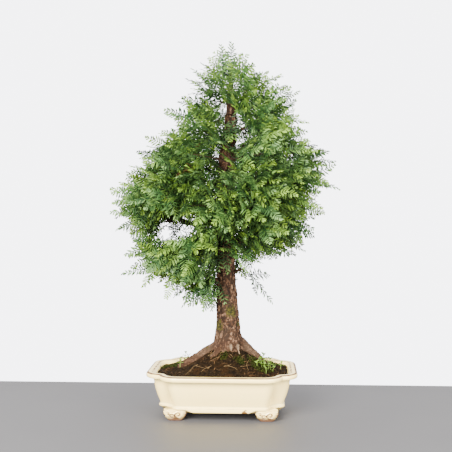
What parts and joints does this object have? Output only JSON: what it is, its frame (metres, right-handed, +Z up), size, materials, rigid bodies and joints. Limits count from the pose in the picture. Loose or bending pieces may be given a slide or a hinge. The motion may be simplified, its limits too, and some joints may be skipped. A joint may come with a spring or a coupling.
{
  "type": "potted bonsai tree",
  "caption": "Dawn redwood bonsai: upright trunk with surface roots, tapering conical crown of feathery needle sprays, in a lobed, footed ceramic pot.",
  "frame": {"origin": "under the middle of the pot, on the surface that its feet stand on", "axes": "+Z up along the trunk, +X along the pot's longer side to the right, -Y towards the pot's front"},
  "size_m": [0.3957, 0.341, 0.632],
  "materials": {
    "glaze": "glossy cream glaze",
    "soil": "damp dark crumbly soil",
    "bark": "rough red-brown peeling bark",
    "needles": "matt green leaf",
    "weed": "matt light green leaf",
    "screen": "dull moulded mesh"
  },
  "bodies": {
    "root": {"pot": "glaze", "drain_screen_left": "screen", "drain_screen_right": "screen", "soil": "soil", "tree_wood": "bark", "weed_left": "weed", "weed_right": "weed", "spray_01": "needles", "spray_02": "needles", "spray_03": "needles", "spray_04": "needles", "spray_05": "needles", "spray_06": "needles", "spray_07": "needles", "spray_08": "needles", "spray_09": "needles", "spray_10": "needles", "spray_11": "needles", "spray_12": "needles", "spray_13": "needles", "spray_14": "needles", "spray_15": "needles", "spray_16": "needles", "spray_17": "needles", "spray_18": "needles", "spray_19": "needles", "spray_20": "needles", "spray_21": "needles", "spray_22": "needles", "spray_23": "needles", "spray_24": "needles", "spray_25": "needles", "spray_26": "needles", "spray_27": "needles", "spray_28": "needles", "spray_29": "needles", "spray_30": "needles", "spray_31": "needles", "spray_32": "needles", "spray_33": "needles", "spray_34": "needles", "spray_35": "needles", "spray_36": "needles", "spray_37": "needles", "spray_38": "needles", "spray_39": "needles", "spray_40": "needles", "spray_41": "needles", "spray_42": "needles", "spray_43": "needles", "spray_44": "needles", "spray_45": "needles", "spray_46": "needles", "spray_47": "needles", "spray_48": "needles", "spray_49": "needles", "spray_50": "needles"}
  },
  "joints": []
}
